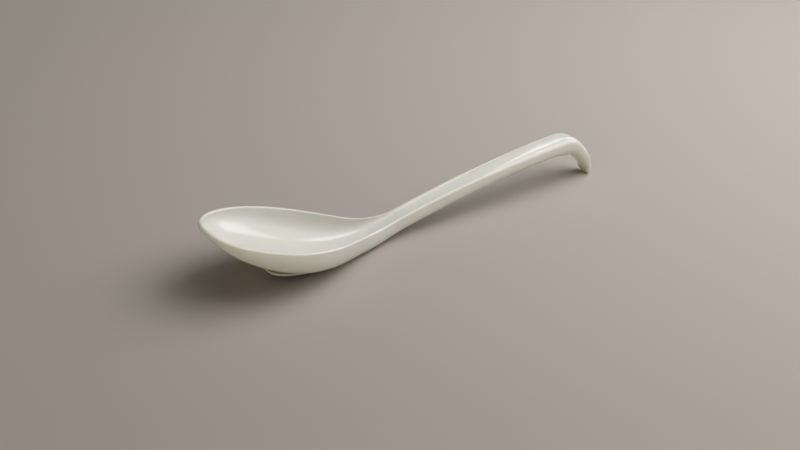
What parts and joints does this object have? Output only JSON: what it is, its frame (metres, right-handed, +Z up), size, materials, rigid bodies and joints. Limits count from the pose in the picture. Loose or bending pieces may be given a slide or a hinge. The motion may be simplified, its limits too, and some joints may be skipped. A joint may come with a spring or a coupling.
{
  "type": "soup spoon",
  "caption": "Soup spoon with a deep oval bowl on an oval foot ring and a long arched handle that ends in a down-turned hook for a bowl's rim.",
  "frame": {"origin": "on the table, under the middle of the spoon's length, with the spoon as it comes to rest: tipped back on the heel of its foot ring and on its hook's tip", "axes": "+X along the spoon from the bowl towards the hook, +Y across it, +Z up from the table"},
  "size_m": [0.1738, 0.0426, 0.0268],
  "materials": {
    "melamine": "glossy moulded, off-white with a faint warm grey-green tone"
  },
  "bodies": {
    "root": {"bowl": "melamine", "foot_ring": "melamine", "neck": "melamine", "handle": "melamine", "hook": "melamine"}
  },
  "joints": []
}
